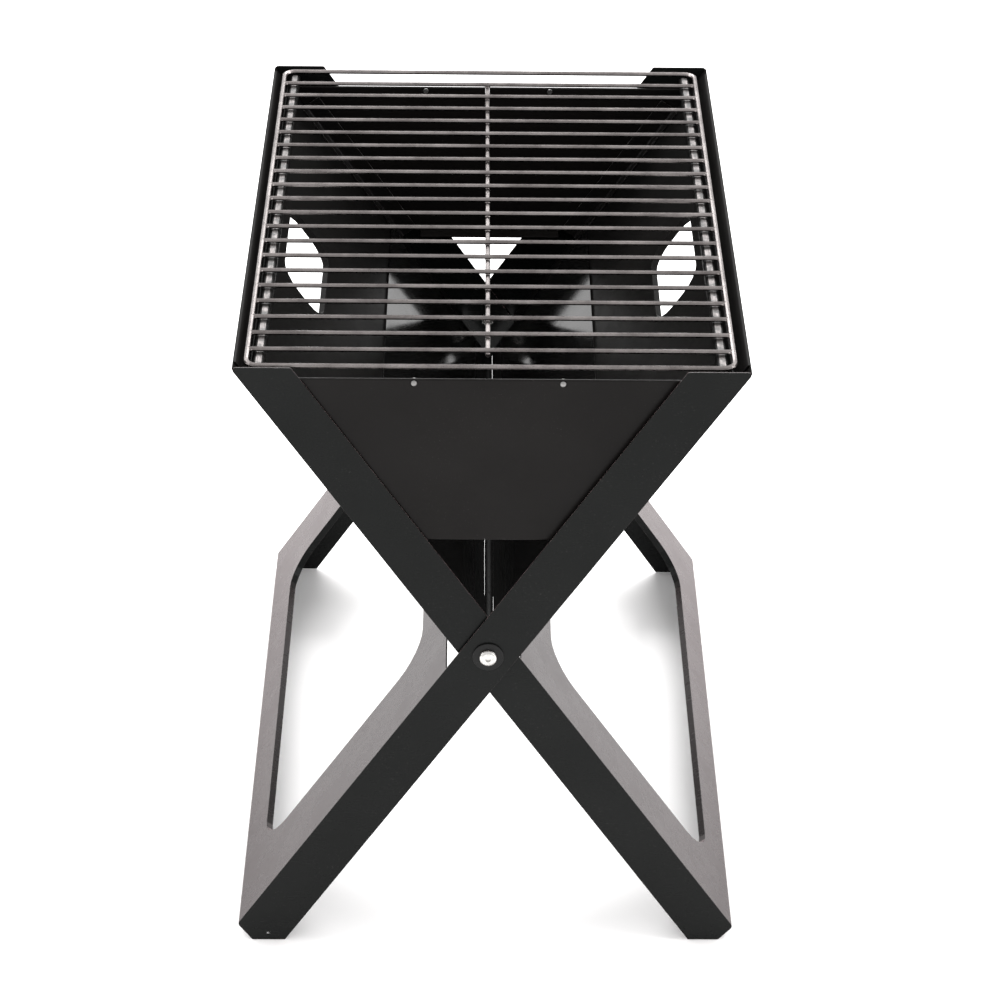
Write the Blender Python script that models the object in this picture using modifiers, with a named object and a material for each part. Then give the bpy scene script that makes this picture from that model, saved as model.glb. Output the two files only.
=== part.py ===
"""Folding charcoal grill: two crossed sheet metal frames on a pivot, with lift-out plates, tray and grate.

Metres, +Z up. X runs across the grill, Y from its front to its rear, and the floor is z = 0.
The outer frame rises from the left foot to the right rim, and the inner frame is its narrower mirror image.
Along an arm, "up" is the distance from the pivot and "out" the distance from the arm's centre line
towards the side that carries the fire wall.
"""

from collections import namedtuple
from math import atan2, asin, cos, hypot, pi, radians, sin, tan

import bmesh
import bpy
from mathutils import Matrix, Vector

# Sizes of the whole grill
TOP_WIDTH = 0.305
DEPTH = 0.463
HEIGHT = 0.412
PIVOT_HEIGHT = 0.2161
ARM_WIDTH = 0.0317

# Sheet metal
SHEET = 0.0009
CLEARANCE = 0.0003
BEND = 0.0008
FOLD_BEND = 0.0026
ARM_TIP_RADIUS = 0.0018

# Feet
FOOT_CORNER_HEIGHT = 0.0120
FOOT_CORNER_WIDTH = 0.0089
HANGING_HOLE_RADIUS = 0.0011
HANGING_HOLE_ABOVE_FLOOR = 0.0048

# Leg plates and their windows
OUTER_PLATE_START = 0.0225
INNER_PLATE_START = 0.0145
OUTER_WINDOW_MARGIN = 0.0565
INNER_WINDOW_MARGIN = 0.0485
WINDOW_TOP = 0.0500
WINDOW_FOOT_RAIL = 0.0260
WINDOW_RADIUS = 0.0260
WINDOW_LIP = 0.0042

# Fire walls, their hemmed rims, side wire grooves, grate ledges and vents
WALL_START = 0.0120
RIM_DROP = 0.0005
GROOVE_DEPTH = 0.0085
GROOVE_REACH = 0.0040
LEDGE_DROP = 0.0035
LEDGE_WIDTH = 0.0065
LEDGE_LIP = 0.0050
LEDGE_NOTCH = 0.0050
VENT_LENGTH = 0.1000
VENT_HEIGHT = 0.0430
VENT_MIDDLE = 0.1900
VENT_SHIFT = 0.0090
VENT_RADIUS = 0.0160
VENT_LIP = 0.0040

# Angle strips that guide the end plates
GUIDE_START = 0.0900
GUIDE_BELOW_HEM = 0.0010
GUIDE_WALL_LEG = 0.0100
GUIDE_STANDING_LEG = 0.0125

# End plates
END_PLATE_PLAY = 0.0006
FRONT_PLATE_TOP_DROP = 0.0075
REAR_PLATE_TOP_DROP = 0.0140
END_PLATE_HEIGHT = 0.1075
END_PLATE_HEM = 0.0070
END_PLATE_LIP = 0.0120
END_PLATE_LIP_FALL = 0.0030
RIVET_SPACING = 0.0870
RIVET_MIDDLE = -0.0012
RIVET_BELOW_TOP = 0.0025
RIVET_RADIUS = 0.0010
RIVET_HEAD_RADIUS = 0.0018
RIVET_HEAD_HEIGHT = 0.0012

# Charcoal tray
TRAY_END_GAP = 0.0180
TRAY_LEAF_END = 0.1040
TRAY_PIN_RADIUS = 0.0013
TRAY_KNUCKLE_RADIUS = 0.0027
TRAY_KNUCKLES = 5

# Cooking grate
GRATE_SIDE_GAP = 0.0022
GRATE_END_GAP = 0.0087
GRATE_CORNER_RADIUS = 0.0075
FRAME_WIRE_RADIUS = 0.0016
CROSS_WIRE_RADIUS = 0.0015
CROSS_WIRES = 20
MIDDLE_WIRE_X = -0.0016
WIRE_WELD = 0.0004

# Pivot hardware
BOLT_RADIUS = 0.0025
BOLT_HEAD_RADIUS = 0.0054
BOLT_HEAD_HEIGHT = 0.0026
BOLT_SOCKET_RADIUS = 0.0017
BOLT_SOCKET_DEPTH = 0.0012
BOLT_TIP = 0.0010
BOLT_TIP_CHAMFER = 0.0006
HEAD_WASHER_RADIUS = 0.0095
HEAD_WASHER = 0.0010
SPACER_RADIUS = 0.0070
SPACER = 0.0008
NUT_ACROSS_FLATS = 0.0080
NUT_HEIGHT = 0.0032

# Sizes that follow from those above
HALF_OUTER_ARM = ARM_WIDTH / 2
HALF_INNER_ARM = HALF_OUTER_ARM - SHEET - CLEARANCE
MEAN_ARM = HALF_OUTER_ARM + HALF_INNER_ARM
RISE = HEIGHT - PIVOT_HEIGHT
ARM_ANGLE = atan2(RISE, TOP_WIDTH / 2) + asin(MEAN_ARM / (2 * hypot(TOP_WIDTH / 2, RISE)))
INNER_ARM_FACE = SHEET + SPACER + 2 * CLEARANCE
FOOT_CORNER_X = (PIVOT_HEIGHT - FOOT_CORNER_HEIGHT) / tan(ARM_ANGLE) + HALF_OUTER_ARM / sin(ARM_ANGLE)
LEDGE_HEIGHT = HEIGHT - LEDGE_DROP
NARROW_FACE = HALF_INNER_ARM - 2 * SHEET - CLEARANCE
NARROW_HALF_MOUTH = (LEDGE_HEIGHT - PIVOT_HEIGHT) / tan(ARM_ANGLE) + NARROW_FACE / sin(ARM_ANGLE)
GRATE_HALF_WIDTH = NARROW_HALF_MOUTH - GRATE_SIDE_GAP - FRAME_WIRE_RADIUS
LEDGE_OUTER_EDGE = GRATE_HALF_WIDTH - GROOVE_REACH
LEDGE_INNER_EDGE = LEDGE_OUTER_EDGE - LEDGE_WIDTH
END_PLATE_FACE = INNER_ARM_FACE + SHEET + END_PLATE_PLAY
GUIDE_FACE = END_PLATE_FACE + SHEET + CLEARANCE
GUIDE_TOP = HEIGHT - max(FRONT_PLATE_TOP_DROP, REAR_PLATE_TOP_DROP) - END_PLATE_HEM - GUIDE_BELOW_HEM
GUIDE_INNER_EDGE = HALF_INNER_ARM - SHEET - CLEARANCE - GUIDE_STANDING_LEG
GUIDE_END = (GUIDE_TOP - PIVOT_HEIGHT + GUIDE_INNER_EDGE * cos(ARM_ANGLE)) / sin(ARM_ANGLE)
HOLE_RADIUS = BOLT_RADIUS + CLEARANCE
PIVOT = Vector((0, 0, PIVOT_HEIGHT))

# side is 1 for the frame whose fire wall is on the right, face how far its arms stand behind the end plane
Frame = namedtuple("Frame", "side half_arm face plate_start window_margin")
OUTER = Frame(1, HALF_OUTER_ARM, 0.0, OUTER_PLATE_START, OUTER_WINDOW_MARGIN)
INNER = Frame(-1, HALF_INNER_ARM, INNER_ARM_FACE, INNER_PLATE_START, INNER_WINDOW_MARGIN)

COAT = {"colour": (0.045, 0.048, 0.047), "metallic": 0.0, "roughness": 0.38}
COAT_DARK = {"colour": (0.040, 0.036, 0.034), "metallic": 0.0, "roughness": 0.42}
TRAY_COAT = {"colour": (0.050, 0.050, 0.050), "metallic": 0.3, "roughness": 0.35}
WIRE = {"colour": (0.62, 0.58, 0.57), "metallic": 1.0, "roughness": 0.25}
BRIGHT = {"colour": (0.75, 0.74, 0.72), "metallic": 1.0, "roughness": 0.22}
BLACK_STEEL = {"colour": (0.03, 0.03, 0.03), "metallic": 0.6, "roughness": 0.45}


def clear_scene():
    for obj in list(bpy.data.objects):
        bpy.data.objects.remove(obj, do_unlink=True)


def new_collection(name):
    collection = bpy.data.collections.new(name)
    bpy.context.scene.collection.children.link(collection)
    return collection


def along(frame, up, out, y=0.0):
    """World point of a frame's plane at a distance up the arm and out from its centre line."""
    x = frame.side * (up * cos(ARM_ANGLE) + out * sin(ARM_ANGLE))
    z = PIVOT_HEIGHT + up * sin(ARM_ANGLE) - out * cos(ARM_ANGLE)
    return Vector((x, y, z))


def plane_point(frame, up, out):
    point = along(frame, up, out)
    return point.x, point.z


def edge_x(frame, z, out):
    """Where the line that runs at this distance from the arm's centre line meets a height."""
    return frame.side * ((z - PIVOT_HEIGHT) / tan(ARM_ANGLE) + out / sin(ARM_ANGLE))


def plate_matrix(frame, out, up=0.0):
    """Places a drawing on a frame's sloping plane: its x runs along Y, its y up the arm, its z outwards."""
    matrix = Matrix((
        (0, frame.side * cos(ARM_ANGLE), frame.side * sin(ARM_ANGLE), 0),
        (frame.side, 0, 0, 0),
        (0, sin(ARM_ANGLE), -cos(ARM_ANGLE), 0),
        (0, 0, 0, 1),
    ))
    matrix.translation = along(frame, up, out)
    return matrix


def upright_matrix(x=0.0, y=0.0, z=0.0):
    """Places a drawing upright across the grill: its x runs along X and its y along Z."""
    return Matrix.Translation((x, y, z)) @ Matrix.Rotation(pi / 2, 4, "X")


def side_matrix(x=0.0):
    """Places a drawing upright along the grill: its x runs along Y and its y along Z."""
    matrix = Matrix(((0, 0, 1, x), (1, 0, 0, 0), (0, 1, 0, 0), (0, 0, 0, 1)))
    return matrix


def rounded(corners, steps=4):
    """An outline from (x, y, radius) corners, each one replaced by an arc of that radius."""
    outline = []
    for i, (x, y, radius) in enumerate(corners):
        here = Vector((x, y))
        if radius <= 0:
            outline.append((x, y))
            continue
        back = (Vector(corners[i - 1][:2]) - here).normalized()
        ahead = (Vector(corners[(i + 1) % len(corners)][:2]) - here).normalized()
        half = back.angle(ahead) / 2
        reach = radius / tan(half)
        centre = here + (back + ahead).normalized() * (radius / sin(half))
        first = here + back * reach - centre
        sweep = (pi - 2 * half) * (1 if back.cross(ahead) < 0 else -1)
        for step in range(steps + 1):
            turned = first.copy()
            turned.rotate(Matrix.Rotation(sweep * step / steps, 2))
            outline.append(tuple(centre + turned))
    return outline


def crossing(a, b, c, d):
    """Where the line through a and b meets the line through c and d."""
    a, b, c, d = (Vector(point) for point in (a, b, c, d))
    share = (c - a).cross(d - c) / (b - a).cross(d - c)
    return a + (b - a) * share


def as_mesh(curve_object, name, collection):
    """Turns a curve object into a closed mesh object at the same place."""
    bpy.context.view_layer.update()
    evaluated = curve_object.evaluated_get(bpy.context.evaluated_depsgraph_get())
    mesh = bpy.data.meshes.new_from_object(evaluated)
    data = bmesh.new()
    data.from_mesh(mesh)
    bmesh.ops.remove_doubles(data, verts=data.verts, dist=1e-6)
    bmesh.ops.recalc_face_normals(data, faces=data.faces)
    data.to_mesh(mesh)
    data.free()
    mesh.name = name
    obj = bpy.data.objects.new(name, mesh)
    obj.matrix_world = curve_object.matrix_world
    collection.objects.link(obj)
    bpy.data.objects.remove(curve_object, do_unlink=True)
    return obj


def flat_solid(name, outline, thickness, matrix, collection):
    """A solid with this outline, as thick as asked on both sides of its drawing plane together."""
    curve = bpy.data.curves.new(name, "CURVE")
    curve.dimensions = "2D"
    curve.fill_mode = "BOTH"
    curve.extrude = thickness / 2
    spline = curve.splines.new("POLY")
    spline.points.add(len(outline) - 1)
    for point, (x, y) in zip(spline.points, outline):
        point.co = (x, y, 0, 1)
    spline.use_cyclic_u = True
    guide = bpy.data.objects.new(name + "_outline", curve)
    guide.matrix_world = matrix
    bpy.context.scene.collection.objects.link(guide)
    return as_mesh(guide, name, collection)


def wire_solid(name, points, radius, closed, collection):
    curve = bpy.data.curves.new(name, "CURVE")
    curve.dimensions = "3D"
    curve.bevel_depth = radius
    curve.bevel_resolution = 2
    curve.use_fill_caps = True
    spline = curve.splines.new("POLY")
    spline.points.add(len(points) - 1)
    for point, place in zip(spline.points, points):
        point.co = (*place, 1)
    spline.use_cyclic_u = closed
    guide = bpy.data.objects.new(name + "_path", curve)
    bpy.context.scene.collection.objects.link(guide)
    return as_mesh(guide, name, collection)


def cylinder(name, radius, start, end, collection, x=0.0, z=0.0, sides=32):
    """A cylinder along Y between two places."""
    mesh = bpy.data.meshes.new(name)
    data = bmesh.new()
    turn = Matrix.Rotation(pi / 2, 4, "X")
    bmesh.ops.create_cone(
        data, cap_ends=True, segments=sides, radius1=radius, radius2=radius,
        depth=abs(end - start), matrix=turn,
    )
    data.to_mesh(mesh)
    data.free()
    obj = bpy.data.objects.new(name, mesh)
    obj.location = (x, (start + end) / 2, z)
    collection.objects.link(obj)
    return obj


def box(name, low, high, collection):
    mesh = bpy.data.meshes.new(name)
    data = bmesh.new()
    bmesh.ops.create_cube(data, size=1.0)
    size = [b - a for a, b in zip(low, high)]
    bmesh.ops.scale(data, vec=size, verts=data.verts)
    data.to_mesh(mesh)
    data.free()
    obj = bpy.data.objects.new(name, mesh)
    obj.location = [(a + b) / 2 for a, b in zip(low, high)]
    collection.objects.link(obj)
    return obj


def turned(name, profile, collection, y, direction, x=0.0, z=PIVOT_HEIGHT, sides=32):
    """A round piece about an axis along Y, from (radius, distance outwards) points of its half section."""
    mesh = bpy.data.meshes.new(name)
    data = bmesh.new()
    points = [data.verts.new((radius, 0, distance)) for radius, distance in profile]
    for first, second in zip(points, points[1:]):
        data.edges.new((first, second))
    if profile[0][0] > 0:
        data.edges.new((points[-1], points[0]))
    data.to_mesh(mesh)
    data.free()
    obj = bpy.data.objects.new(name, mesh)
    obj.rotation_euler = (-direction * pi / 2, 0, 0)
    obj.location = (x, y, z)
    collection.objects.link(obj)
    screw = obj.modifiers.new("turn", "SCREW")
    screw.axis = "Z"
    screw.steps = sides
    screw.render_steps = sides
    screw.use_merge_vertices = True
    screw.merge_threshold = 0.00001
    return obj


def combine(target, other, operation):
    modifier = target.modifiers.new(other.name, "BOOLEAN")
    modifier.operation = operation
    modifier.solver = "EXACT"
    modifier.object = other
    return modifier


def cut(target, other):
    return combine(target, other, "DIFFERENCE")


def join(target, other):
    return combine(target, other, "UNION")


def smooth(obj, angle=35):
    """Shades round faces smooth and keeps the edges sharper than the angle."""
    for polygon in obj.data.polygons:
        polygon.use_smooth = True
    obj.data.set_sharp_from_angle(angle=radians(angle))


def paint(obj, look):
    material = bpy.data.materials.new(obj.name + "_material")
    material.use_nodes = True
    shader = material.node_tree.nodes["Principled BSDF"]
    shader.inputs["Base Color"].default_value = (*look["colour"], 1)
    shader.inputs["Metallic"].default_value = look["metallic"]
    shader.inputs["Roughness"].default_value = look["roughness"]
    material.diffuse_color = (*look["colour"], 1)
    obj.data.materials.clear()
    obj.data.materials.append(material)


def empty(name, place, collection, parent=None):
    obj = bpy.data.objects.new(name, None)
    obj.empty_display_size = 0.02
    obj.matrix_world = Matrix.Translation(place)
    collection.objects.link(obj)
    if parent:
        attach(obj, parent)
    return obj


def attach(obj, parent):
    bpy.context.view_layer.update()
    world = obj.matrix_world.copy()
    obj.parent = parent
    obj.matrix_parent_inverse = parent.matrix_world.inverted()
    obj.matrix_world = world


def frame_depth(frame):
    return DEPTH - 2 * frame.face


def foot_corner(frame):
    """The outer corner of the foot, where the leg plate turns down to the floor."""
    x = -frame.side * FOOT_CORNER_X
    rise = tan(ARM_ANGLE) * (FOOT_CORNER_X - frame.half_arm / sin(ARM_ANGLE))
    return x, PIVOT_HEIGHT - rise


def foot_toe(frame):
    """The inner end of the foot's corner cut, on the floor."""
    return -frame.side * (FOOT_CORNER_X - FOOT_CORNER_WIDTH), 0.0


def arm_outline(frame):
    """Outline of an arm, with a corner where the leg plate starts."""
    half = frame.half_arm
    corner = foot_corner(frame)
    toe = foot_toe(frame)
    start = plane_point(frame, -frame.plate_start, -half)
    return rounded([
        (edge_x(frame, HEIGHT, -half), HEIGHT, ARM_TIP_RADIUS),
        (edge_x(frame, HEIGHT, half), HEIGHT, ARM_TIP_RADIUS),
        (edge_x(frame, 0, half), 0, 0),
        (toe[0], toe[1], 0),
        (corner[0], corner[1], FOLD_BEND),
        (start[0], start[1], 0),
    ])


def channel_inside(frame):
    """Outline of what is taken out between the arms, so that one sheet is left along the leg's outer side."""
    inner = frame.half_arm - SHEET
    corner = foot_corner(frame)
    toe = foot_toe(frame)
    slope = Vector(toe) - Vector(corner)
    inward = Vector((-slope.y, slope.x)).normalized() * frame.side * SHEET
    low = (Vector(toe) + inward, Vector(corner) + inward)
    start = -frame.plate_start
    leg = (plane_point(frame, start, -inner), plane_point(frame, 2 * start, -inner))
    bend = crossing(leg[0], leg[1], low[0], low[1])
    below = crossing(low[0], low[1], (0, -0.02), (1, -0.02))
    beyond = plane_point(frame, start, -frame.half_arm - 0.02)
    far = frame.side * TOP_WIDTH
    return rounded([
        (beyond[0], beyond[1], 0),
        (leg[0][0], leg[0][1], 0),
        (bend.x, bend.y, FOLD_BEND - SHEET),
        (below.x, below.y, 0),
        (far, -0.02, 0),
        (far, HEIGHT + 0.02, 0),
        (edge_x(frame, HEIGHT, -frame.half_arm) - frame.side * 0.04, HEIGHT + 0.02, 0),
    ])


def round_long_bends(obj, frame):
    """Rounds the two bends where the arms turn into the leg plate, from the plate's start down to the toe."""
    weights = obj.data.attributes.new("bevel_weight_edge", "FLOAT", "EDGE")
    start = -frame.plate_start + 1e-5
    for edge in obj.data.edges:
        ends = [obj.matrix_world @ obj.data.vertices[i].co for i in edge.vertices]
        at_end = all(abs(abs(point.y) - frame_depth(frame) / 2) < 1e-6 for point in ends)
        on_plate = True
        for point in ends:
            across = frame.side * point.x * sin(ARM_ANGLE) - (point.z - PIVOT_HEIGHT) * cos(ARM_ANGLE)
            up = frame.side * point.x * cos(ARM_ANGLE) + (point.z - PIVOT_HEIGHT) * sin(ARM_ANGLE)
            on_leg = across < -frame.half_arm + 1e-5 and up < start
            outside_toe = -frame.side * point.x > FOOT_CORNER_X - FOOT_CORNER_WIDTH - 1e-5
            on_foot = outside_toe and point.z < FOOT_CORNER_HEIGHT + FOLD_BEND
            on_plate = on_plate and (on_leg or on_foot)
        weights.data[edge.index].value = 1.0 if at_end and on_plate else 0.0
    bevel = obj.modifiers.new("bends", "BEVEL")
    bevel.limit_method = "WEIGHT"
    bevel.width = BEND
    bevel.segments = 2


def window_outline(frame, lip):
    """The window in the leg plate, drawn along Y and up the arm, larger by the lip's thickness if asked."""
    corner = foot_corner(frame)
    foot = -frame.side * corner[0] * cos(ARM_ANGLE) + (PIVOT_HEIGHT - corner[1]) * sin(ARM_ANGLE)
    half = DEPTH / 2 - frame.window_margin + lip
    top = -WINDOW_TOP + lip
    bottom = -(foot - WINDOW_FOOT_RAIL) - lip
    radius = WINDOW_RADIUS + lip
    corners = [(-half, top, radius), (half, top, radius), (half, bottom, radius), (-half, bottom, radius)]
    return rounded(corners, steps=6)


def leg_frame(name, frame, parts, cutters):
    """Two full length arms and a windowed leg plate, bent from one sheet."""
    depth = frame_depth(frame)
    obj = flat_solid(name, arm_outline(frame), depth, upright_matrix(), parts)
    round_long_bends(obj, frame)
    inside = flat_solid(name + "_inside", channel_inside(frame), depth - 2 * SHEET, upright_matrix(), cutters)
    cut(obj, inside)
    middle = -(frame.half_arm - SHEET / 2)
    lip_matrix = plate_matrix(frame, middle + WINDOW_LIP / 2)
    join(obj, flat_solid(name + "_window_lip", window_outline(frame, SHEET), WINDOW_LIP, lip_matrix, cutters))
    window_matrix = plate_matrix(frame, middle + WINDOW_LIP / 2)
    cut(obj, flat_solid(name + "_window", window_outline(frame, 0), 4 * WINDOW_LIP, window_matrix, cutters))
    cut(obj, cylinder(name + "_pivot_hole", HOLE_RADIUS, -DEPTH, DEPTH, cutters, z=PIVOT_HEIGHT))
    return obj


def hanging_hole(obj, frame, cutters):
    """The small hole by which the frame hangs while it is coated."""
    x = (foot_toe(frame)[0] + edge_x(frame, 0, frame.half_arm)) / 2
    hole = cylinder(
        obj.name + "_hanging_hole", HANGING_HOLE_RADIUS, -DEPTH, -DEPTH / 2 + 0.01, cutters,
        x=x, z=HANGING_HOLE_ABOVE_FLOOR, sides=12,
    )
    cut(obj, hole)


def wall_outline(frame):
    """Section of a fire wall: up the outside, hemmed over at the rim, down into the groove for the grate's
    side wire, up again to the flat ledge under the cross wires, and down the ledge's lip."""
    side = frame.side
    out = frame.half_arm
    inner = out - SHEET
    back = inner - CLEARANCE
    face = back - SHEET
    top = HEIGHT - RIM_DROP
    under = LEDGE_HEIGHT - SHEET
    groove = LEDGE_HEIGHT - GROOVE_DEPTH
    low = plane_point(frame, WALL_START, out)
    low_inside = plane_point(frame, WALL_START, inner)
    groove_point = Vector((edge_x(frame, groove, face), groove))
    ledge_point = Vector((side * LEDGE_OUTER_EDGE, LEDGE_HEIGHT))
    rise = (ledge_point - groove_point).normalized()
    below = Vector((-side * rise.y, side * rise.x)) * SHEET
    hidden = (groove_point + below, ledge_point + below)
    back_line = ((edge_x(frame, groove, back), groove), (edge_x(frame, top, back), top))
    groove_under = crossing(*hidden, *back_line)
    ledge_under = crossing(hidden[0], hidden[1], (0, under), (1, under))
    tip = LEDGE_HEIGHT - LEDGE_LIP
    return rounded([
        (low[0], low[1], 0),
        (edge_x(frame, top, out), top, BEND),
        (edge_x(frame, top, face), top, BEND),
        (groove_point.x, groove_point.y, BEND),
        (ledge_point.x, ledge_point.y, BEND + SHEET),
        (side * LEDGE_INNER_EDGE, LEDGE_HEIGHT, BEND + SHEET),
        (side * LEDGE_INNER_EDGE, tip, 0),
        (side * (LEDGE_INNER_EDGE + SHEET), tip, 0),
        (side * (LEDGE_INNER_EDGE + SHEET), under, BEND),
        (ledge_under.x, ledge_under.y, BEND),
        (groove_under.x, groove_under.y, BEND + SHEET),
        (edge_x(frame, top - SHEET, back), top - SHEET, 0),
        (edge_x(frame, top - SHEET, inner), top - SHEET, 0),
        (low_inside[0], low_inside[1], 0),
    ], steps=3)


def vent_outline(frame, lip):
    half = VENT_LENGTH / 2 + lip
    middle = frame.side * VENT_SHIFT
    low = VENT_MIDDLE - VENT_HEIGHT / 2 - lip
    high = VENT_MIDDLE + VENT_HEIGHT / 2 + lip
    radius = VENT_RADIUS + lip
    left, right = middle - half, middle + half
    return rounded([(left, low, radius), (right, low, radius), (right, high, radius), (left, high, radius)])


def fire_wall(name, frame, parts, cutters):
    """Sloping side of the fire box, with the grate ledge and a vent whose lip is turned outwards."""
    length = frame_depth(frame) - 2 * (SHEET + CLEARANCE)
    obj = flat_solid(name, wall_outline(frame), length, upright_matrix(), parts)
    middle = frame.half_arm - SHEET / 2
    lip_matrix = plate_matrix(frame, middle + VENT_LIP / 2)
    join(obj, flat_solid(name + "_vent_lip", vent_outline(frame, SHEET), VENT_LIP, lip_matrix, cutters))
    cut(obj, flat_solid(name + "_vent", vent_outline(frame, 0), 4 * VENT_LIP, lip_matrix, cutters))
    notch = GUIDE_FACE + SHEET + LEDGE_NOTCH
    low = LEDGE_HEIGHT - GROOVE_DEPTH - LEDGE_NOTCH
    high = HEIGHT + LEDGE_NOTCH
    keep = frame.half_arm - SHEET - CLEARANCE / 2
    region = [(0, low), (edge_x(frame, low, keep), low), (edge_x(frame, high, keep), high), (0, high)]
    for end in (-1, 1):
        label = "_front_notch" if end < 0 else "_rear_notch"
        place = upright_matrix(y=end * DEPTH / 2)
        cut(obj, flat_solid(name + label, region, 2 * notch, place, cutters))
    return obj


def end_plate_guide(name, frame, end, parts):
    """Angle strip: one leg lies on the fire wall, the other stands in behind the end plate's edge."""
    outline = rounded([
        (0, 0, BEND + SHEET),
        (GUIDE_WALL_LEG, 0, 0),
        (GUIDE_WALL_LEG, SHEET, 0),
        (SHEET, SHEET, BEND),
        (SHEET, GUIDE_STANDING_LEG, 0),
        (0, GUIDE_STANDING_LEG, 0),
    ])
    x_axis = Vector((0, -end, 0))
    y_axis = -Vector((frame.side * sin(ARM_ANGLE), 0, -cos(ARM_ANGLE)))
    z_axis = x_axis.cross(y_axis)
    matrix = Matrix((x_axis, y_axis, z_axis)).transposed().to_4x4()
    out = frame.half_arm - SHEET - CLEARANCE
    middle = (GUIDE_START + GUIDE_END) / 2
    matrix.translation = along(frame, middle, out, end * (DEPTH / 2 - GUIDE_FACE))
    return flat_solid(name, outline, GUIDE_END - GUIDE_START, matrix, parts)


def box_side(frame, z, inset=0.0):
    """How far a loose piece may reach towards a fire wall at a height, or towards what stands in from it."""
    return edge_x(frame, z, frame.half_arm - SHEET - CLEARANCE - inset)


def plate_top(end):
    """Height of an end plate's upper edge; the rear one sits a little lower."""
    return HEIGHT - (FRONT_PLATE_TOP_DROP if end < 0 else REAR_PLATE_TOP_DROP)


def end_plate(name, end, parts, cutters):
    """Front or rear of the fire box: hemmed at the top, with a lip turned in below that passes the guides."""
    top = plate_top(end)
    bend = top - END_PLATE_HEIGHT
    face = DEPTH / 2 - END_PLATE_FACE
    back = face - SHEET
    hem = back - CLEARANCE
    lip = face - END_PLATE_LIP
    fall = END_PLATE_LIP_FALL
    under = SHEET
    section = [
        (face, top, FOLD_BEND / 3),
        (face, bend - under, BEND + SHEET / 2),
        (lip, bend - under - fall, 0),
        (lip, bend - fall, 0),
        (back, bend, BEND / 2),
        (back, top - SHEET, 0),
        (hem, top - SHEET, 0),
        (hem, top - END_PLATE_HEM, 0),
        (hem - SHEET, top - END_PLATE_HEM, 0),
        (hem - SHEET, top, FOLD_BEND / 3),
    ]
    outline = [(end * y, z) for y, z in rounded(section, steps=3)]
    obj = flat_solid(name, outline, 2 * TOP_WIDTH, side_matrix(), parts)
    low = bend - under - fall
    shoulder = bend + CLEARANCE
    inset = GUIDE_STANDING_LEG + 2 * CLEARANCE
    high = HEIGHT
    region = [
        (box_side(INNER, low, inset), low - 0.01),
        (box_side(OUTER, low, inset), low - 0.01),
        (box_side(OUTER, low, inset), shoulder),
        (box_side(OUTER, shoulder), shoulder),
        (box_side(OUTER, high), high),
        (box_side(INNER, high), high),
        (box_side(INNER, shoulder), shoulder),
        (box_side(INNER, low, inset), shoulder),
    ]
    shape = flat_solid(name + "_shape", region, 4 * END_PLATE_LIP, upright_matrix(y=end * face), cutters)
    combine(obj, shape, "INTERSECT")
    for side in (-1, 1):
        x, z = rivet_place(end, side)
        label = "_left_rivet_hole" if side < 0 else "_right_rivet_hole"
        bore = RIVET_RADIUS + CLEARANCE
        hole = cylinder(name + label, bore, end * DEPTH, end * DEPTH / 3, cutters, x, z, 16)
        cut(obj, hole)
    return obj


def rivet_place(end, side):
    return RIVET_MIDDLE + side * RIVET_SPACING / 2, plate_top(end) - RIVET_BELOW_TOP


def end_plate_rivet(name, end, side, parts):
    """Dome headed rivet through the plate and its hem, with a flat closing head behind."""
    x, z = rivet_place(end, side)
    base = CLEARANCE
    grip = 2 * SHEET + 2 * CLEARANCE
    profile = [
        (0, base + RIVET_HEAD_HEIGHT),
        (RIVET_HEAD_RADIUS * 0.5, base + RIVET_HEAD_HEIGHT * 0.85),
        (RIVET_HEAD_RADIUS * 0.87, base + RIVET_HEAD_HEIGHT * 0.5),
        (RIVET_HEAD_RADIUS, base),
        (RIVET_RADIUS, base),
        (RIVET_RADIUS, -grip),
        (RIVET_RADIUS * 1.8, -grip),
        (RIVET_RADIUS * 1.8, -grip - SHEET),
        (0, -grip - SHEET),
    ]
    return turned(name, profile, parts, end * (DEPTH / 2 - END_PLATE_FACE), end, x, z, 20)


def tray_axis():
    """The hinge line under the charcoal tray, where both leaves lie on the fire walls."""
    right = OUTER.half_arm - SHEET - CLEARANCE - TRAY_KNUCKLE_RADIUS
    left = INNER.half_arm - SHEET - CLEARANCE - TRAY_KNUCKLE_RADIUS
    x = (right - left) / (2 * sin(ARM_ANGLE))
    z = PIVOT_HEIGHT - (right + left) / (2 * cos(ARM_ANGLE))
    return Vector((x, 0, z))


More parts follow.
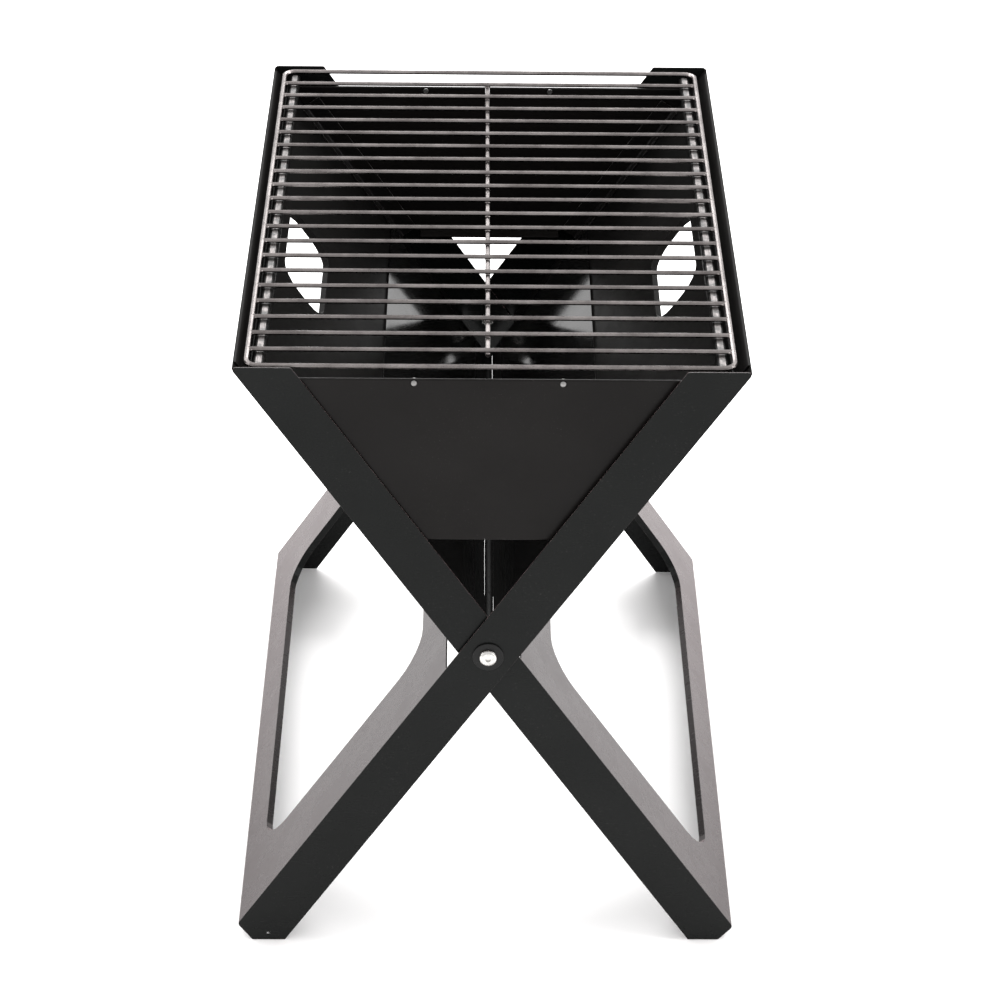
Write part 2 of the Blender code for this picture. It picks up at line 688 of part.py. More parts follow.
def tray_leaf(name, frame, own_knuckles, parts, cutters):
    """One sheet of the V tray, with rolled knuckles along its lower edge."""
    axis = tray_axis()
    length = DEPTH - 2 * TRAY_END_GAP
    out = frame.half_arm - SHEET - CLEARANCE
    top = along(frame, TRAY_LEAF_END, out)
    top_inside = along(frame, TRAY_LEAF_END, out - SHEET)
    outward = Vector((frame.side * sin(ARM_ANGLE), 0, -cos(ARM_ANGLE)))
    start = axis + outward * TRAY_KNUCKLE_RADIUS
    start_inside = axis + outward * (TRAY_KNUCKLE_RADIUS - SHEET)
    outline = [(point.x, point.z) for point in (start, top, top_inside, start_inside)]
    obj = flat_solid(name, outline, length, upright_matrix(), parts)
    half = length / 2
    join(obj, cylinder(name + "_roll", TRAY_KNUCKLE_RADIUS, -half, half, cutters, axis.x, axis.z, 24))
    bore = TRAY_PIN_RADIUS + CLEARANCE
    cut(obj, cylinder(name + "_bore", bore, -length, length, cutters, axis.x, axis.z, 16))
    pitch = length / TRAY_KNUCKLES
    for index in range(TRAY_KNUCKLES):
        if index in own_knuckles:
            continue
        start_y = -half + index * pitch - CLEARANCE / 2
        end_y = start_y + pitch + CLEARANCE
        if index == 0:
            start_y -= 0.01
        if index == TRAY_KNUCKLES - 1:
            end_y += 0.01
        gap = TRAY_KNUCKLE_RADIUS + CLEARANCE
        cut(obj, cylinder(f"{name}_gap_{index}", gap, start_y, end_y, cutters, axis.x, axis.z, 24))
    return obj


def tray_pin(name, parts):
    """Hinge pin with a slightly larger peened end."""
    axis = tray_axis()
    half = DEPTH / 2 - TRAY_END_GAP + CLEARANCE
    peened = TRAY_PIN_RADIUS * 1.4
    profile = [
        (0, half + SHEET),
        (peened, half + SHEET),
        (peened, half),
        (TRAY_PIN_RADIUS, half),
        (TRAY_PIN_RADIUS, -half),
        (peened, -half),
        (peened, -half - SHEET),
        (0, -half - SHEET),
    ]
    return turned(name, profile, parts, 0.0, 1, axis.x, axis.z, 16)


def grate_height():
    return LEDGE_HEIGHT + CLEARANCE + CROSS_WIRE_RADIUS


def cooking_grate(name, parts, cutters):
    """Rounded frame wire, cross wires and one wire under them down the middle, welded into one rack."""
    z = grate_height()
    half_x = GRATE_HALF_WIDTH
    half_y = DEPTH / 2 - GRATE_END_GAP
    radius = GRATE_CORNER_RADIUS
    turns = ((-1, -1), (1, -1), (1, 1), (-1, 1))
    corners = [(half_x * x, half_y * y, radius) for x, y in turns]
    loop = [(x, y, z) for x, y in rounded(corners, steps=5)]
    obj = wire_solid(name, loop, FRAME_WIRE_RADIUS, True, parts)
    pitch = 2 * half_y / (CROSS_WIRES + 1)
    places = [-half_y + pitch * (i + 1) for i in range(CROSS_WIRES)]
    middle_z = z - 2 * CROSS_WIRE_RADIUS + WIRE_WELD
    x = MIDDLE_WIRE_X
    ends = [(x, places[0] - CROSS_WIRE_RADIUS, middle_z), (x, places[-1] + CROSS_WIRE_RADIUS, middle_z)]
    join(obj, wire_solid(name + "_middle_wire", ends, CROSS_WIRE_RADIUS, False, cutters))
    for i, y in enumerate(places):
        ends = [(-half_x, y, z), (half_x, y, z)]
        join(obj, wire_solid(f"{name}_cross_wire_{i + 1}", ends, CROSS_WIRE_RADIUS, False, cutters))
    return obj


def pivot_bolt(name, end, parts):
    """Low dome head with a round socket, and a shank that reaches through the nut."""
    base = HEAD_WASHER + 2 * CLEARANCE
    top = base + BOLT_HEAD_HEIGHT
    tip = INNER_ARM_FACE + SHEET + CLEARANCE + NUT_HEIGHT + BOLT_TIP
    profile = [
        (0, top - BOLT_SOCKET_DEPTH),
        (BOLT_SOCKET_RADIUS, top - BOLT_SOCKET_DEPTH),
        (BOLT_SOCKET_RADIUS, top),
        (BOLT_HEAD_RADIUS * 0.72, top - BOLT_HEAD_HEIGHT * 0.12),
        (BOLT_HEAD_RADIUS * 0.93, top - BOLT_HEAD_HEIGHT * 0.42),
        (BOLT_HEAD_RADIUS, top - BOLT_HEAD_HEIGHT * 0.75),
        (BOLT_HEAD_RADIUS, base),
        (BOLT_RADIUS, base),
        (BOLT_RADIUS, -tip + BOLT_TIP_CHAMFER),
        (BOLT_RADIUS - BOLT_TIP_CHAMFER, -tip),
        (0, -tip),
    ]
    return turned(name, profile, parts, end * DEPTH / 2, end)


def washer(name, end, start, thickness, radius, parts):
    """A flat ring; start is the distance of its outer face from the end plane, inwards."""
    hole = HOLE_RADIUS
    edge = thickness / 4
    profile = [
        (hole, 0),
        (radius - edge, 0),
        (radius, -edge),
        (radius, -thickness + edge),
        (radius - edge, -thickness),
        (hole, -thickness),
    ]
    return turned(name, profile, parts, end * (DEPTH / 2 - start), end)


def pivot_nut(name, end, parts, cutters):
    """Hexagon nut inside the inner arm."""
    near = DEPTH / 2 - INNER_ARM_FACE - SHEET - CLEARANCE
    far = near - NUT_HEIGHT
    corner = NUT_ACROSS_FLATS / 2 / cos(pi / 6)
    obj = cylinder(name, corner, end * far, end * near, parts, z=PIVOT_HEIGHT, sides=6)
    cut(obj, cylinder(name + "_bore", HOLE_RADIUS, end * DEPTH, end * DEPTH / 4, cutters, z=PIVOT_HEIGHT))
    return obj


def build():
    clear_scene()
    parts = new_collection("folding_grill")
    cutters = new_collection("cutters")

    fold = empty("fold_axis", PIVOT, parts)
    plates = {-1: empty("front_plate_slide", (0, -DEPTH / 2, HEIGHT), parts),
              1: empty("rear_plate_slide", (0, DEPTH / 2, HEIGHT), parts)}
    tray = empty("tray_slide", tray_axis(), parts)
    leaf = empty("tray_hinge_axis", tray_axis(), parts, tray)
    grate = empty("grate_slide", (0, 0, grate_height()), parts)

    pieces = []

    def add(obj, look, parent=None):
        paint(obj, look)
        if parent:
            attach(obj, parent)
        pieces.append(obj)
        return obj

    outer_leg = add(leg_frame("outer_leg_frame", OUTER, parts, cutters), COAT)
    hanging_hole(outer_leg, OUTER, cutters)
    add(fire_wall("outer_fire_wall", OUTER, parts, cutters), COAT_DARK)
    add(leg_frame("inner_leg_frame", INNER, parts, cutters), COAT, fold)
    add(fire_wall("inner_fire_wall", INNER, parts, cutters), COAT_DARK, fold)
    for frame, label, parent in ((OUTER, "right", None), (INNER, "left", fold)):
        for end, place in ((-1, "front"), (1, "rear")):
            add(end_plate_guide(f"end_plate_guide_{place}_{label}", frame, end, parts), COAT_DARK, parent)

    for end, place in ((-1, "front"), (1, "rear")):
        add(end_plate(f"end_plate_{place}", end, parts, cutters), COAT_DARK, plates[end])
        for side, label in ((-1, "left"), (1, "right")):
            name = f"end_plate_rivet_{place}_{label}"
            add(end_plate_rivet(name, end, side, parts), BRIGHT, plates[end])
        add(pivot_bolt(f"pivot_bolt_{place}", end, parts), BRIGHT)
        outside = -HEAD_WASHER - CLEARANCE
        name = f"pivot_head_washer_{place}"
        add(washer(name, end, outside, HEAD_WASHER, HEAD_WASHER_RADIUS, parts), BLACK_STEEL)
        between = SHEET + CLEARANCE
        add(washer(f"pivot_spacer_{place}", end, between, SPACER, SPACER_RADIUS, parts), BLACK_STEEL)
        add(pivot_nut(f"pivot_nut_{place}", end, parts, cutters), BRIGHT)

    add(tray_leaf("tray_leaf_left", INNER, (0, 2, 4), parts, cutters), TRAY_COAT, tray)
    add(tray_leaf("tray_leaf_right", OUTER, (1, 3), parts, cutters), TRAY_COAT, leaf)
    add(tray_pin("tray_hinge_pin", parts), BRIGHT, tray)
    add(cooking_grate("cooking_grate", parts, cutters), WIRE, grate)

    for obj in pieces:
        smooth(obj)
    for obj in cutters.objects:
        obj.hide_render = True
        obj.display_type = "WIRE"
    cutters.hide_render = True
    bpy.context.view_layer.update()


build()
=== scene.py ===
import random
from math import cos, radians, sin

import bmesh
import bpy
from mathutils import Matrix, Vector


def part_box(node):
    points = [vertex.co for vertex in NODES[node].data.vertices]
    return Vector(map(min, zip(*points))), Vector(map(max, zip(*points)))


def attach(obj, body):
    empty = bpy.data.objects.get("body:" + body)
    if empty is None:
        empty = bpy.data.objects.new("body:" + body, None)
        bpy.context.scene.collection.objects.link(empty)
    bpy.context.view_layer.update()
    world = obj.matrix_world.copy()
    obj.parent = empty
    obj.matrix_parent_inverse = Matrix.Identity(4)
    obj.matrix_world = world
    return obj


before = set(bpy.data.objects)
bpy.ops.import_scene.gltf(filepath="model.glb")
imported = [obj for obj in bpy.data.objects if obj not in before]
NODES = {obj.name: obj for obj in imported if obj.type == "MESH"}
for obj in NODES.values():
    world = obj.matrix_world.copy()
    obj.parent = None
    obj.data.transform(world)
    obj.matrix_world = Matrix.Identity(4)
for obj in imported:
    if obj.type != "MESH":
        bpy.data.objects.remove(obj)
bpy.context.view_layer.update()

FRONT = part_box("outer_leg_frame")[0].y
PIN_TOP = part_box("tray_hinge_pin")[1].z

# Linear colours of dust, rubbed coat, burnt wire and sheen; the rubbed coat along edges is partly a painted
# edge highlight
DUST = (0.30, 0.28, 0.27)
RUBBED_COAT_AND_EDGE_HIGHLIGHT = (0.16, 0.15, 0.145)
LEDGE_COAT = (0.02, 0.019, 0.018)
BURNT_WIRE = (0.16, 0.14, 0.135)
SHEEN_TINT = (1.0, 0.68, 0.70)

# Edges: a sheet's radius in metres, the samples that round it, and how far the rounded normal leans away from
# the plain one, as a cosine, where the lighter edge colour (rubbed coat and painted highlight) starts and
# where it is full
EDGE_RADIUS = 0.0005
EDGE_SAMPLES = 6
RUB_AND_HIGHLIGHT_STARTS = 0.985
RUB_AND_HIGHLIGHT_FULL = 0.9

# Bump heights in metres
PEEL_HEIGHT = 0.00002
WAVE_HEIGHT = 0.00006
SCRATCH_HEIGHT = 0.00003
METAL_HEIGHT = 0.00002

# Soot fades out over this height, in metres
SOOT_FADE = 0.014

# Shares, and roughness that is even all over
DUST_SHARE = 0.08
BARE_METALLIC = 0.95
SHEARED_METALLIC = 0.1
SOOT_ROUGHNESS = 0.75
SHEEN_ROUGHNESS = 0.35


# Materials

def rgba(colour, shade=1.0):
    """A colour with its alpha. A shade below 1 darkens it."""
    return tuple(part * shade for part in colour) + (1,)


class Nodes:
    """Short calls for building a material's node tree. Noise scales are counts per metre."""

    def __init__(self, name):
        self.material = bpy.data.materials.new(name)
        self.material.use_nodes = True
        self.tree = self.material.node_tree
        self.shader = self.tree.nodes["Principled BSDF"]
        self.place = self.add("ShaderNodeTexCoord").outputs["Object"]

    def add(self, kind, **values):
        node = self.tree.nodes.new(kind)
        for key, value in values.items():
            setattr(node, key, value)
        return node

    def link(self, source, target):
        self.tree.links.new(source, target)

    def put(self, socket, value):
        """Links another node's output to the socket, or sets its value."""
        if isinstance(value, bpy.types.NodeSocket):
            self.link(value, socket)
        else:
            socket.default_value = value

    def stretched(self, per_axis):
        """The place, with X, Y and Z multiplied. Below 1 draws a pattern out along that axis."""
        node = self.add("ShaderNodeMapping")
        self.link(self.place, node.inputs["Vector"])
        node.inputs["Scale"].default_value = per_axis
        return node.outputs["Vector"]

    def noise(self, scale, detail, roughness, per_axis=None):
        vector = self.stretched(per_axis) if per_axis else self.place
        node = self.add("ShaderNodeTexNoise")
        self.link(vector, node.inputs["Vector"])
        node.inputs["Scale"].default_value = scale
        node.inputs["Detail"].default_value = detail
        node.inputs["Roughness"].default_value = roughness
        return node.outputs["Fac"]

    def ramp(self, value, low, high, start=0.0, end=1.0):
        """Start where the value is low, end where it is high, and evenly in between."""
        node = self.add("ShaderNodeMapRange")
        self.put(node.inputs["Value"], value)
        node.inputs["From Min"].default_value = low
        node.inputs["From Max"].default_value = high
        node.inputs["To Min"].default_value = start
        node.inputs["To Max"].default_value = end
        return node.outputs["Result"]

    def patches(self, scale, detail, roughness, low, high):
        """A mask of noise: 0 below low, 1 above high."""
        return self.ramp(self.noise(scale, detail, roughness), low, high)

    def math(self, operation, a, b):
        node = self.add("ShaderNodeMath", operation=operation)
        self.put(node.inputs[0], a)
        self.put(node.inputs[1], b)
        return node.outputs[0]

    def times(self, a, b):
        return self.math("MULTIPLY", a, b)

    def mix(self, share, a, b):
        """The share of b over a, two colours."""
        node = self.add("ShaderNodeMix", data_type="RGBA")
        self.put(node.inputs["Factor"], share)
        self.put(node.inputs["A"], a)
        self.put(node.inputs["B"], b)
        return node.outputs["Result"]

    def bump(self, height, distance, strength, normal=None):
        node = self.add("ShaderNodeBump")
        node.inputs["Strength"].default_value = strength
        node.inputs["Distance"].default_value = distance
        self.put(node.inputs["Height"], height)
        if normal:
            self.link(normal, node.inputs["Normal"])
        return node.outputs["Normal"]

    def rounded(self, radius):
        """A normal that rounds sharp edges by the radius."""
        node = self.add("ShaderNodeBevel", samples=EDGE_SAMPLES)
        node.inputs["Radius"].default_value = radius
        return node.outputs["Normal"]

    def edge_mask(self, radius):
        """1 along sharp edges, 0 on the flats."""
        plain = self.add("ShaderNodeNewGeometry").outputs["Normal"]
        node = self.add("ShaderNodeVectorMath", operation="DOT_PRODUCT")
        self.link(self.rounded(radius), node.inputs[0])
        self.link(plain, node.inputs[1])
        return self.ramp(node.outputs["Value"], RUB_AND_HIGHLIGHT_STARTS, RUB_AND_HIGHLIGHT_FULL)

    def set(self, **values):
        """Sets the shader's sockets, with _ for each space in a name, and returns the material."""
        for key, value in values.items():
            self.put(self.shader.inputs[key.replace("_", " ")], value)
        return self.material


def coat_colour(n, cloud, dark, light, edge, wear_and_highlight):
    """Cloudy black with areas of fine dust, lighter along the edges: partly rubbed coat, partly a painted
    edge highlight.
    """
    colour = n.mix(n.ramp(cloud, low=0.35, high=0.7), rgba(dark), rgba(light))
    specks = n.patches(scale=900, detail=2, roughness=0.5, low=0.64, high=0.78)
    areas = n.patches(scale=22, detail=3, roughness=0.6, low=0.4, high=0.65)
    dust = n.times(n.times(specks, areas), DUST_SHARE)
    colour = n.mix(dust, colour, rgba(DUST))
    chips = n.patches(scale=160, detail=5, roughness=0.7, low=0.45, high=0.62)
    # Lighter edges: partly rubbed coat, partly a painted highlight where the edges catch the light
    rubbed_and_highlit_edges = n.times(n.edge_mask(edge), chips)
    return n.mix(n.times(rubbed_and_highlit_edges, wear_and_highlight), colour, rgba(RUBBED_COAT_AND_EDGE_HIGHLIGHT))


def coat_roughness(n, rough):
    """Rubbed areas, and streaks drawn out along X."""
    rubbed = n.noise(scale=38, detail=6, roughness=0.65)
    streak = n.noise(scale=300, detail=3, roughness=0.6, per_axis=(0.15, 1.0, 1.0))
    rubs = n.ramp(rubbed, low=0.3, high=0.75, start=rough - 0.03, end=rough + 0.04)
    return n.math("ADD", rubs, n.ramp(streak, low=0.55, high=0.8, start=0.0, end=0.05))


def sooty_roughness(n, roughness, cloud, top):
    """Dull soot below the top, a height in the node's own coordinates, thinner where the cloud is low."""
    height = n.add("ShaderNodeSeparateXYZ")
    n.link(n.place, height.inputs[0])
    below = n.ramp(height.outputs["Z"], low=top, high=top + SOOT_FADE, start=1.0, end=0.0)
    soot = n.times(below, n.ramp(cloud, low=0.2, high=0.6, start=0.7, end=1.0))
    return n.math("MAXIMUM", roughness, n.times(soot, SOOT_ROUGHNESS))


def enamel(name, dark, light, rough, specular=0.2, index=1.5, sheen=0.0, wear_and_highlight=0.25, edge=EDGE_RADIUS,
           peel=PEEL_HEIGHT, soot_top=None):
    """Satin black coat over sheet metal: orange peel over longer waves, edges that catch the light, and edges
    painted lighter, partly as a painted highlight.
    """
    n = Nodes(name)
    cloud = n.noise(scale=9, detail=5, roughness=0.6)
    colour = coat_colour(n, cloud, dark, light, edge, wear_and_highlight)
    roughness = coat_roughness(n, rough)
    if soot_top is not None:
        roughness = sooty_roughness(n, roughness, cloud, soot_top)
    pores = n.noise(scale=620, detail=3, roughness=0.5)
    waves = n.noise(scale=70, detail=3, roughness=0.5)
    normal = n.bump(pores, distance=peel, strength=0.6, normal=n.rounded(edge))
    normal = n.bump(waves, distance=WAVE_HEIGHT, strength=0.3, normal=normal)
    return n.set(Base_Color=colour, Roughness=roughness, Normal=normal,
                 IOR=index, Specular_IOR_Level=specular,
                 Sheen_Weight=sheen, Sheen_Roughness=SHEEN_ROUGHNESS, Sheen_Tint=rgba(SHEEN_TINT))


def wire_metal(name, dark, light, rough):
    """Chromed wire: dull patches, and burnt streaks along the cross wires."""
    n = Nodes(name)
    patch = n.noise(scale=45, detail=5, roughness=0.6)
    streak = n.noise(scale=260, detail=4, roughness=0.6, per_axis=(1.0, 6.0, 6.0))
    colour = n.mix(n.ramp(patch, low=0.35, high=0.68), rgba(dark), rgba(light))
    burnt = n.ramp(streak, low=0.55, high=0.8, start=0.0, end=0.35)
    colour = n.mix(burnt, colour, rgba(BURNT_WIRE))
    roughness = n.ramp(streak, low=0.3, high=0.75, start=rough - 0.05, end=rough + 0.12)
    grain = n.noise(scale=1500, detail=2, roughness=0.5)
    normal = n.bump(grain, distance=METAL_HEIGHT, strength=0.5)
    return n.set(Base_Color=colour, Roughness=roughness, Normal=normal, Metallic=1.0)


def worn_ledge(name, steel, rough, edge):
    """The strip under the cross wires, where the grate has rubbed the coat through to the steel."""
    n = Nodes(name)
    bare = n.patches(scale=140, detail=5, roughness=0.7, low=0.40, high=0.56)
    scratch = n.noise(scale=500, detail=4, roughness=0.6, per_axis=(3.0, 0.3, 1.0))
    colour = n.mix(n.ramp(scratch, low=0.4, high=0.7), rgba(steel), rgba(steel, shade=0.6))
    colour = n.mix(bare, rgba(LEDGE_COAT), colour)
    roughness = n.ramp(scratch, low=0.3, high=0.75, start=rough - 0.05, end=rough + 0.12)
    normal = n.bump(scratch, distance=SCRATCH_HEIGHT, strength=0.5, normal=n.rounded(edge))
    return n.set(Base_Color=colour, Roughness=roughness, Normal=normal, Metallic=n.times(bare, BARE_METALLIC))


def plated(name, base, rough, edge):
    """Zinc plated fasteners, clouded, with fine marks along their length."""
    n = Nodes(name)
    mark = n.noise(scale=1400, detail=3, roughness=0.5, per_axis=(1.0, 0.2, 1.0))
    cloud = n.patches(scale=300, detail=3, roughness=0.55, low=0.4, high=0.7)
    colour = n.mix(cloud, rgba(base), rgba(base, shade=0.72))
    roughness = n.ramp(mark, low=0.3, high=0.7, start=rough - 0.06, end=rough + 0.1)
    normal = n.bump(mark, distance=METAL_HEIGHT, strength=0.5, normal=n.rounded(edge))
    return n.set(Base_Color=colour, Roughness=roughness, Normal=normal, Metallic=1.0)


def sheared_edge_with_highlight(name, base):
    """A cut sheet edge without coat, dulled by heat, painted near-white so that it shows as a painted
    highlight along the edge.
    """
    n = Nodes(name)
    grain = n.noise(scale=700, detail=4, roughness=0.6, per_axis=(1.0, 0.3, 1.0))
    colour = n.mix(n.ramp(grain, low=0.35, high=0.7), rgba(base), rgba(base, shade=0.5))
    roughness = n.ramp(grain, low=0.3, high=0.7, start=0.5, end=0.65)
    normal = n.bump(grain, distance=SCRATCH_HEIGHT, strength=0.5)
    return n.set(Base_Color=colour, Roughness=roughness, Normal=normal, Metallic=SHEARED_METALLIC)


def level_in(node, height):
    """A world height in this node's own coordinates."""
    return (NODES[node].matrix_world.inverted() @ Vector((0, 0, height))).z


LOOKS = {
    "leg": enamel(
        "leg_enamel", dark=(0.0034, 0.0043, 0.0040), light=(0.0060, 0.0070, 0.0067), rough=0.27,
        specular=0.12, sheen=0.22),
    "wall": enamel(
        "wall_enamel", dark=(0.0040, 0.0038, 0.0037), light=(0.0076, 0.0071, 0.0068), rough=0.42,
        specular=0.06, index=1.3),
    # Guides' edges painted much lighter than the other coats: rubbed coat with a strong painted highlight
    # along the edges
    "guide": enamel(
        "guide_enamel", dark=(0.0055, 0.0050, 0.0048), light=(0.010, 0.009, 0.0085), rough=0.32,
        specular=0.15, wear_and_highlight=0.9),
    "ledge": worn_ledge("ledge_worn_bright", steel=(0.19, 0.174, 0.171), rough=0.5, edge=0.0004),
    "plate": enamel(
        "plate_enamel", dark=(0.0054, 0.0046, 0.0043), light=(0.0088, 0.0079, 0.0075), rough=0.34,
        specular=0.11),
    "tray": enamel(
        "tray_enamel", dark=(0.0045, 0.0045, 0.0045), light=(0.0080, 0.0078, 0.0076), rough=0.10,
        specular=0.10, index=1.36, edge=0.00008, peel=0.000008, soot_top=level_in("tray_leaf_left", PIN_TOP)),
    "hinge": enamel(
        "hinge_enamel", dark=(0.0035, 0.0035, 0.0035), light=(0.0070, 0.0068, 0.0066), rough=0.5,
        specular=0.05),
    "wire": wire_metal("chromed_wire", dark=(0.14, 0.126, 0.123), light=(0.27, 0.247, 0.241), rough=0.27),
    "bright": plated("bright_steel", base=(0.72, 0.71, 0.69), rough=0.24, edge=0.0003),
    "rivet": plated("rivet_steel", base=(0.30, 0.295, 0.29), rough=0.40, edge=0.0003),
    # The guide's bare cut edge, painted near-white as a painted highlight along it
    "cut edge highlight": sheared_edge_with_highlight("cut_edge_highlight_steel", base=(0.80, 0.78, 0.76)),
    "washer": enamel(
        "black_washer", dark=(0.004, 0.004, 0.004), light=(0.008, 0.008, 0.008), rough=0.38, edge=0.0002),
}


# Which faces get which material

# The first of these words that a node's name holds gives its look
LOOK_OF_WORD = {
    "cooking_grate": "wire",
    "leg_frame": "leg",
    "fire_wall": "wall",
    "guide": "guide",
    "hinge_pin": "hinge",
    "rivet": "rivet",
    "bolt": "bright",
    "nut": "bright",
    "washer": "washer",
    "spacer": "washer",
    "tray_leaf": "tray",
    "end_plate": "plate",
}

# Height of the normal of a face that looks straight up
LOOKS_UP = 0.999
# Faces closer than this, in metres, lie in one plane
SAME_LEVEL = 0.00001
# How far the tray's knuckles reach above their pin, in metres
KNUCKLE_REACH = 0.0012
# The cut edge of a guide looks inward and up: its normal hardly leans along Y, and rises at least this much
LEAN_AT_MOST = 0.1
RISE_AT_LEAST = 0.4


def look_of(node):
    return next(look for word, look in LOOK_OF_WORD.items() if word in node)


def ledge_faces(obj):
    """The flat ledge of a fire wall: the widest face that looks straight up, and those level with it."""
    turn = obj.matrix_world.to_3x3()
    up = [polygon for polygon in obj.data.polygons if (turn @ polygon.normal).z > LOOKS_UP]
    widest = max(up, key=lambda polygon: polygon.area)
    level = (obj.matrix_world @ widest.center).z
    return [polygon for polygon in up if abs((obj.matrix_world @ polygon.center).z - level) < SAME_LEVEL]


def knuckle_faces(obj):
    """The rolled knuckles along a tray leaf's lower edge, which are duller than the leaf."""
    top = PIN_TOP + KNUCKLE_REACH
    return [polygon for polygon in obj.data.polygons if (obj.matrix_world @ polygon.center).z < top]


def cut_edge_faces(obj):
    """The cut edge of a guide, the face that stands furthest from the fire wall, which gets the painted
    highlight.
    """
    turn = obj.matrix_world.to_3x3()
    best, marked = None, []
    for polygon in obj.data.polygons:
        normal = turn @ polygon.normal
        if abs(normal.y) > LEAN_AT_MOST or normal.z < RISE_AT_LEAST:
            continue
        reach = normal.dot(obj.matrix_world @ polygon.center)
        if best is None or reach > best + SAME_LEVEL:
            best, marked = reach, [polygon]
        elif reach > best - SAME_LEVEL:
            marked.append(polygon)
    return marked


SECOND_LOOK = {
    "wall": ("ledge", ledge_faces),
    "guide": ("cut edge highlight", cut_edge_faces),
    "tray": ("hinge", knuckle_faces),
}


def dress(obj, look):
    """Gives a node its look, and a second one to the faces of it that differ."""
    obj.data.materials.clear()
    obj.data.materials.append(LOOKS[look])
    for polygon in obj.data.polygons:
        polygon.material_index = 0
    if look in SECOND_LOOK:
        second, faces = SECOND_LOOK[look]
        obj.data.materials.append(LOOKS[second])
        for polygon in faces(obj):
            polygon.material_index = 1


for node_name, node_object in NODES.items():
    dress(node_object, look_of(node_name))


# Weld beads on the cooking grate

# The grate's wires, in metres, as its solid has them
FRAME_WIRE_RADIUS = 0.0016
CROSS_WIRE_RADIUS = 0.0015
CROSS_WIRES = 20
MIDDLE_WIRE_X = -0.0016

# A bead's radii along X, Y and Z in metres, how its size varies, and how far it strays and sinks in
BEAD_RADII = (0.0017, 0.0021, 0.0012)
BEAD_SMALLEST = 0.9
BEAD_LARGEST = 1.15
BEAD_DRIFT = 0.0002
BEAD_SINK = 0.0002
BEAD_SUBDIVISIONS = 3
BEAD_SEED = 7


def weld_beads():
    """A small bead at each end of every cross wire and where it crosses the middle wire below it."""
    low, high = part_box("cooking_grate")
    side = high.x - FRAME_WIRE_RADIUS
    end = side - FRAME_WIRE_RADIUS
    front, rear = low.y + FRAME_WIRE_RADIUS, high.y - FRAME_WIRE_RADIUS
    level = high.z - FRAME_WIRE_RADIUS
    pitch = (rear - front) / (CROSS_WIRES + 1)
    joins = ((-end, level), (end, level), (MIDDLE_WIRE_X, level - CROSS_WIRE_RADIUS))
    rng = random.Random(BEAD_SEED)
    data = bmesh.new()
    for wire in range(CROSS_WIRES):
        y = front + pitch * (wire + 1)
        for x, z in joins:
            size = rng.uniform(BEAD_SMALLEST, BEAD_LARGEST)
            scale = Matrix.Diagonal((*(radius * size for radius in BEAD_RADII), 1))
            drift = rng.uniform(-BEAD_DRIFT, BEAD_DRIFT)
            place = Matrix.Translation((x, y + drift, z - BEAD_SINK))
            bmesh.ops.create_icosphere(data, subdivisions=BEAD_SUBDIVISIONS, radius=1.0, matrix=place @ scale)
    mesh = bpy.data.meshes.new("grate_weld_beads")
    data.to_mesh(mesh)
    data.free()
    for polygon in mesh.polygons:
        polygon.use_smooth = True
    mesh.materials.append(LOOKS["wire"])
    beads = bpy.data.objects.new("grate_weld_beads", mesh)
    bpy.context.scene.collection.objects.link(beads)
    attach(beads, "grate")


weld_beads()


# Stage, light and camera

FLOOR_HALF = 6.0
FLOOR_DROP = 0.0004
FLOOR_COLOUR = (0.94, 0.932, 0.93)
BACKDROP_STRENGTH = 1.1
STUDIO_STRENGTH = 1.15
WHITE = (1, 1, 1, 1)

# The lens: the photograph's width and focal length in pixels, and the sensor's width in millimetres
PHOTO_WIDTH = 1000.0
FOCAL_PIXELS = 3300.0
SENSOR_WIDTH = 36.0

# The camera's angles in degrees, and its place in metres from the floor under the middle of the front arms
CAMERA_ELEVATION = 29.797
CAMERA_YAW = 0.551
CAMERA_ROLL = 0.643
CAMERA_SIDE = -0.01015
CAMERA_DISTANCE = 1.69906
CAMERA_HEIGHT = 1.29899


def stage_floor():
    """A plain pale floor just under the feet."""
    corners = [(x * FLOOR_HALF, y * FLOOR_HALF, 0) for x, y in ((-1, -1), (1, -1), (1, 1), (-1, 1))]
    mesh = bpy.data.meshes.new("floor")
    mesh.from_pydata(corners, [], [(0, 1, 2, 3)])
    floor = bpy.data.objects.new("floor", mesh)
    bpy.context.scene.collection.objects.link(floor)
    floor.location.z = -FLOOR_DROP
    paint = Nodes("floor_paint").set(Base_Color=rgba(FLOOR_COLOUR), Roughness=0.9, Specular_IOR_Level=0.1)
    mesh.materials.append(paint)


def background(tree, strength):
    """An even white background."""
    node = tree.nodes.new("ShaderNodeBackground")
    node.inputs["Color"].default_value = WHITE
    node.inputs["Strength"].default_value = strength
    return node.outputs[0]


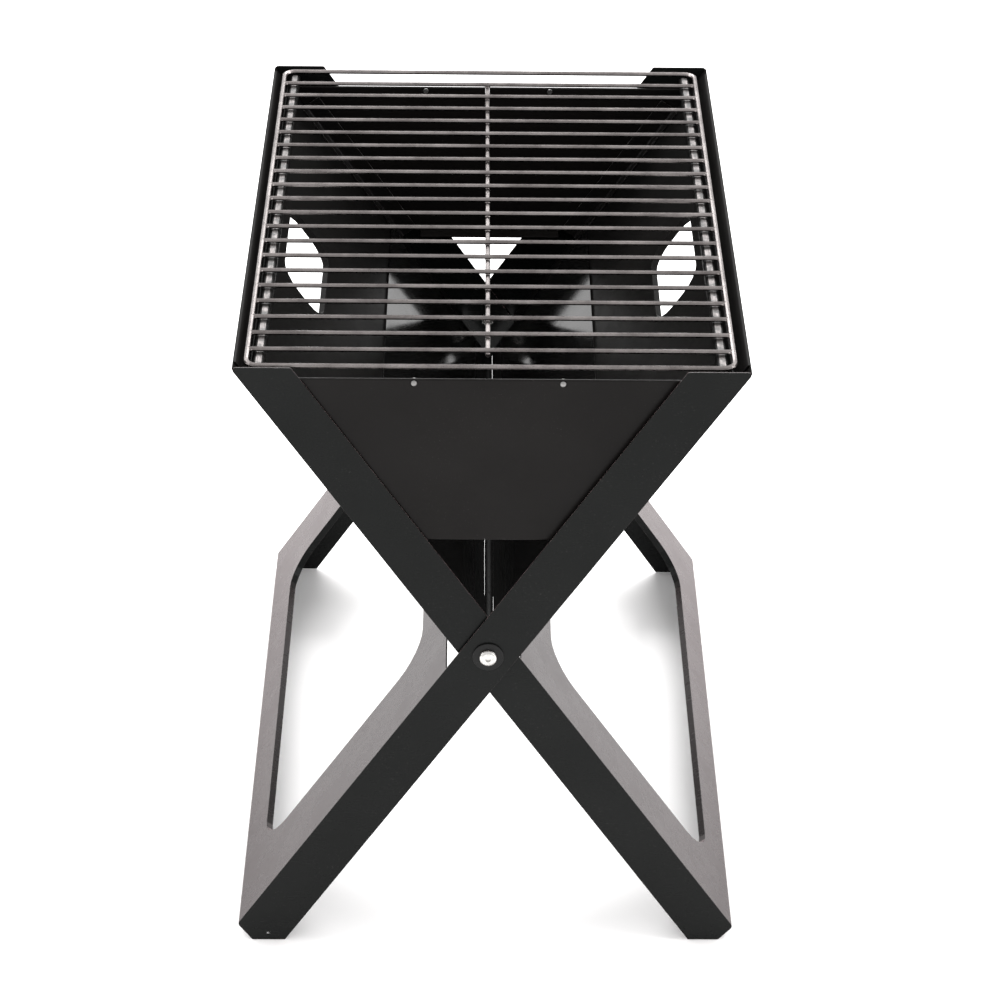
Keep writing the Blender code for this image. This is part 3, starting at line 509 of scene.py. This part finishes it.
def stage_world():
    """The camera and rays off metal or through glass see the backdrop. All else gets the studio's light."""
    world = bpy.data.worlds.new("studio")
    bpy.context.scene.world = world
    world.use_nodes = True
    tree = world.node_tree
    tree.nodes.clear()
    ray = tree.nodes.new("ShaderNodeLightPath").outputs
    sees = ray["Is Camera Ray"]
    for kind in ("Is Glossy Ray", "Is Transmission Ray"):
        either = tree.nodes.new("ShaderNodeMath")
        either.operation = "ADD"
        either.use_clamp = True
        tree.links.new(sees, either.inputs[0])
        tree.links.new(ray[kind], either.inputs[1])
        sees = either.outputs[0]
    mixer = tree.nodes.new("ShaderNodeMixShader")
    out = tree.nodes.new("ShaderNodeOutputWorld")
    tree.links.new(sees, mixer.inputs["Fac"])
    tree.links.new(background(tree, STUDIO_STRENGTH), mixer.inputs[1])
    tree.links.new(background(tree, BACKDROP_STRENGTH), mixer.inputs[2])
    tree.links.new(mixer.outputs[0], out.inputs["Surface"])


def area_light(name, place, target, size, power):
    """A soft panel at the place, turned towards the target. Its power is in watts."""
    data = bpy.data.lights.new(name, "AREA")
    data.shape = "RECTANGLE"
    data.size, data.size_y = size
    data.energy = power
    light = bpy.data.objects.new(name, data)
    light.location = place
    light.rotation_euler = (Vector(target) - Vector(place)).to_track_quat("-Z", "Y").to_euler()
    bpy.context.scene.collection.objects.link(light)


def make_camera():
    """The photograph's camera, from a fit to points measured on it."""
    elevation, yaw, roll = radians(CAMERA_ELEVATION), radians(CAMERA_YAW), radians(CAMERA_ROLL)
    ahead = Vector((sin(yaw) * cos(elevation), cos(yaw) * cos(elevation), -sin(elevation)))
    right = Vector((cos(yaw), -sin(yaw), 0))
    up = right.cross(ahead)
    right, up = right * cos(roll) + up * sin(roll), up * cos(roll) - right * sin(roll)
    data = bpy.data.cameras.new("camera")
    data.sensor_width = SENSOR_WIDTH
    data.lens = SENSOR_WIDTH * FOCAL_PIXELS / PHOTO_WIDTH
    camera = bpy.data.objects.new("camera", data)
    place = Matrix.Translation((CAMERA_SIDE, FRONT - CAMERA_DISTANCE, CAMERA_HEIGHT))
    camera.matrix_world = place @ Matrix((right, up, -ahead)).transposed().to_4x4()
    bpy.context.scene.collection.objects.link(camera)
    bpy.context.scene.camera = camera


bpy.context.scene.view_settings.view_transform = "Standard"
stage_floor()
stage_world()
area_light("light_rear", place=(0.0, 2.6, 2.4), target=(0, 0.9, 0), size=(3.4, 1.6), power=150)
area_light("light_left", place=(-2.2, 0.2, 1.3), target=(-0.3, 0.0, 0), size=(1.6, 1.6), power=36)
area_light("light_right", place=(2.2, -0.1, 1.3), target=(0.3, -0.1, 0), size=(1.6, 1.6), power=46)
make_camera()
